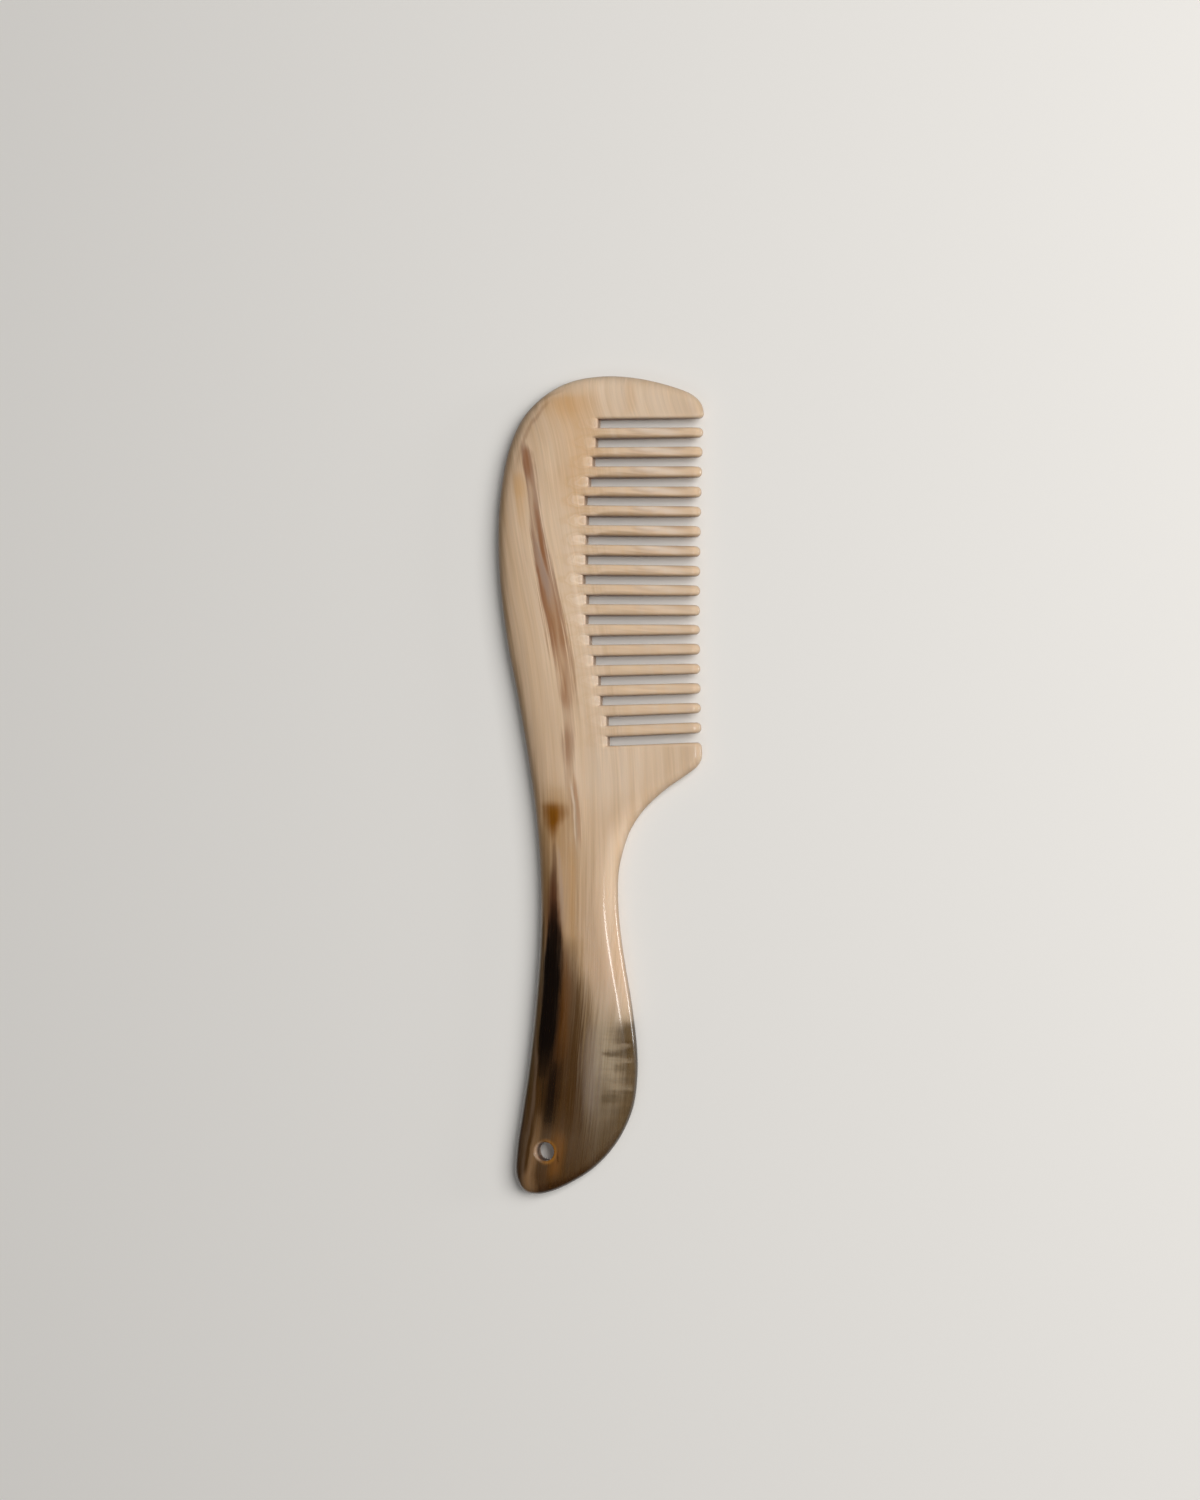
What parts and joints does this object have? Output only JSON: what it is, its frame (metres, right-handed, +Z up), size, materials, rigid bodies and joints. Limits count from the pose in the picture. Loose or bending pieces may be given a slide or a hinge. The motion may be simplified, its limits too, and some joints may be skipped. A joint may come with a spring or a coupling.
{
  "type": "horn handle comb",
  "caption": "Handled grooming comb sawn and polished from one plate of horn, with wide guard teeth at both ends and a hanging hole in the handle.",
  "frame": {"origin": "on the surface the comb lies on, under the middle of its length and width", "axes": "+Y along the comb towards the crown of the head, +X towards the tips of the teeth, +Z up out of the face it shows"},
  "size_m": [0.0489, 0.1864, 0.0048],
  "materials": {
    "horn": "polished blond horn with brown and black streaks"
  },
  "bodies": {
    "root": {"comb": "horn"}
  },
  "joints": []
}
